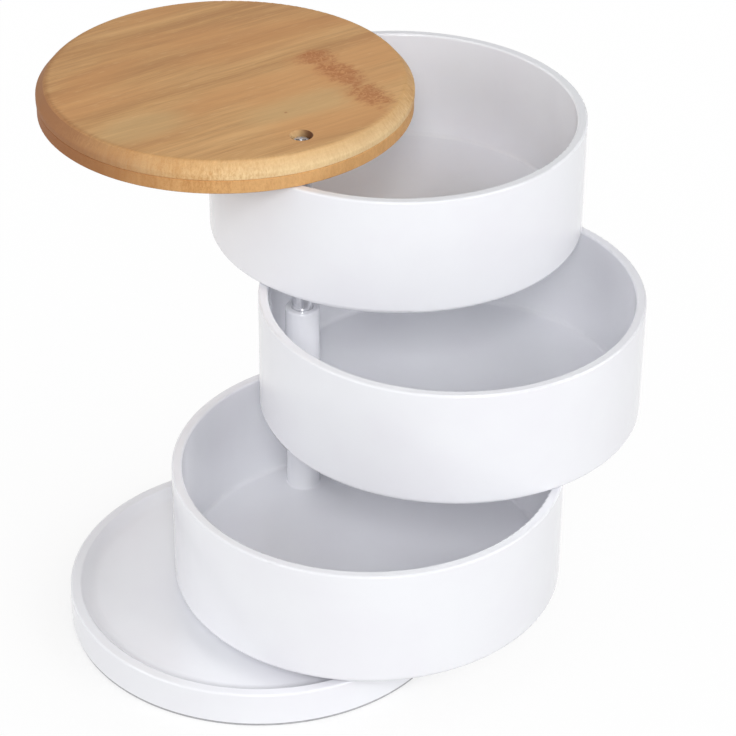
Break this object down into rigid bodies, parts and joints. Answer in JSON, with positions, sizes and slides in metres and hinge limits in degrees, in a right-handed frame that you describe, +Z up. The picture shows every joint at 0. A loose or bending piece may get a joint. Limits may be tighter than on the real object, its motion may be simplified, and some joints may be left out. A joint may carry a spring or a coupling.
{
  "type": "makeup organizer",
  "caption": "Round makeup organizer with stacked open trays and a flat bamboo lid that swivel out sideways on one upright axle over a shallow dish base.",
  "frame": {"origin": "on the axle's centre line, at the level of the surface that the base stands on", "axes": "+Z up along the axle, +Y towards the back, +X to the right as the picture shows the object"},
  "size_m": [0.2229, 0.2396, 0.1655],
  "materials": {
    "white_plastic": "glossy injection-moulded white",
    "bamboo_upper": "satin lacquered bamboo, light tan",
    "bamboo_lower": "satin lacquered bamboo, darker edge ply",
    "tube_chrome": "bright plated steel tube",
    "rod_steel": "plain turned steel",
    "screw_steel": "zinc-plated steel",
    "washer_nylon": "natural nylon",
    "bush_plastic": "white acetal",
    "pad_rubber": "thin grey foam rubber"
  },
  "bodies": {
    "base": {"base_dish": "white_plastic", "base_plate": "white_plastic", "anti_slip_pad": "pad_rubber", "axle_rod": "rod_steel", "base_washer": "screw_steel", "base_spring_washer": "screw_steel", "base_screw": "screw_steel", "friction_washers": "washer_nylon", "lid_washer": "screw_steel", "lid_spring_washer": "screw_steel", "lid_screw": "screw_steel"},
    "bottom_tray_body": {"bottom_tray": "white_plastic", "bottom_tray_tube": "tube_chrome"},
    "middle_tray_body": {"middle_tray": "white_plastic", "middle_tray_tube": "tube_chrome"},
    "top_tray_body": {"top_tray": "white_plastic", "top_tray_tube": "tube_chrome"},
    "lid_body": {"lid_lower_ply": "bamboo_lower", "lid_upper_ply": "bamboo_upper", "lid_bush": "bush_plastic"}
  },
  "joints": [
    {"name": "bottom_tray_swivel", "type": "hinge", "parent": "base", "child": "bottom_tray_body", "pos_m": [0, 0, 0], "axis": [0, 0, 1], "continuous": true},
    {"name": "middle_tray_swivel", "type": "hinge", "parent": "base", "child": "middle_tray_body", "pos_m": [0, 0, 0], "axis": [0, 0, 1], "continuous": true},
    {"name": "top_tray_swivel", "type": "hinge", "parent": "base", "child": "top_tray_body", "pos_m": [0, 0, 0], "axis": [0, 0, 1], "continuous": true},
    {"name": "lid_swivel", "type": "hinge", "parent": "base", "child": "lid_body", "pos_m": [0, 0, 0], "axis": [0, 0, 1], "continuous": true}
  ]
}
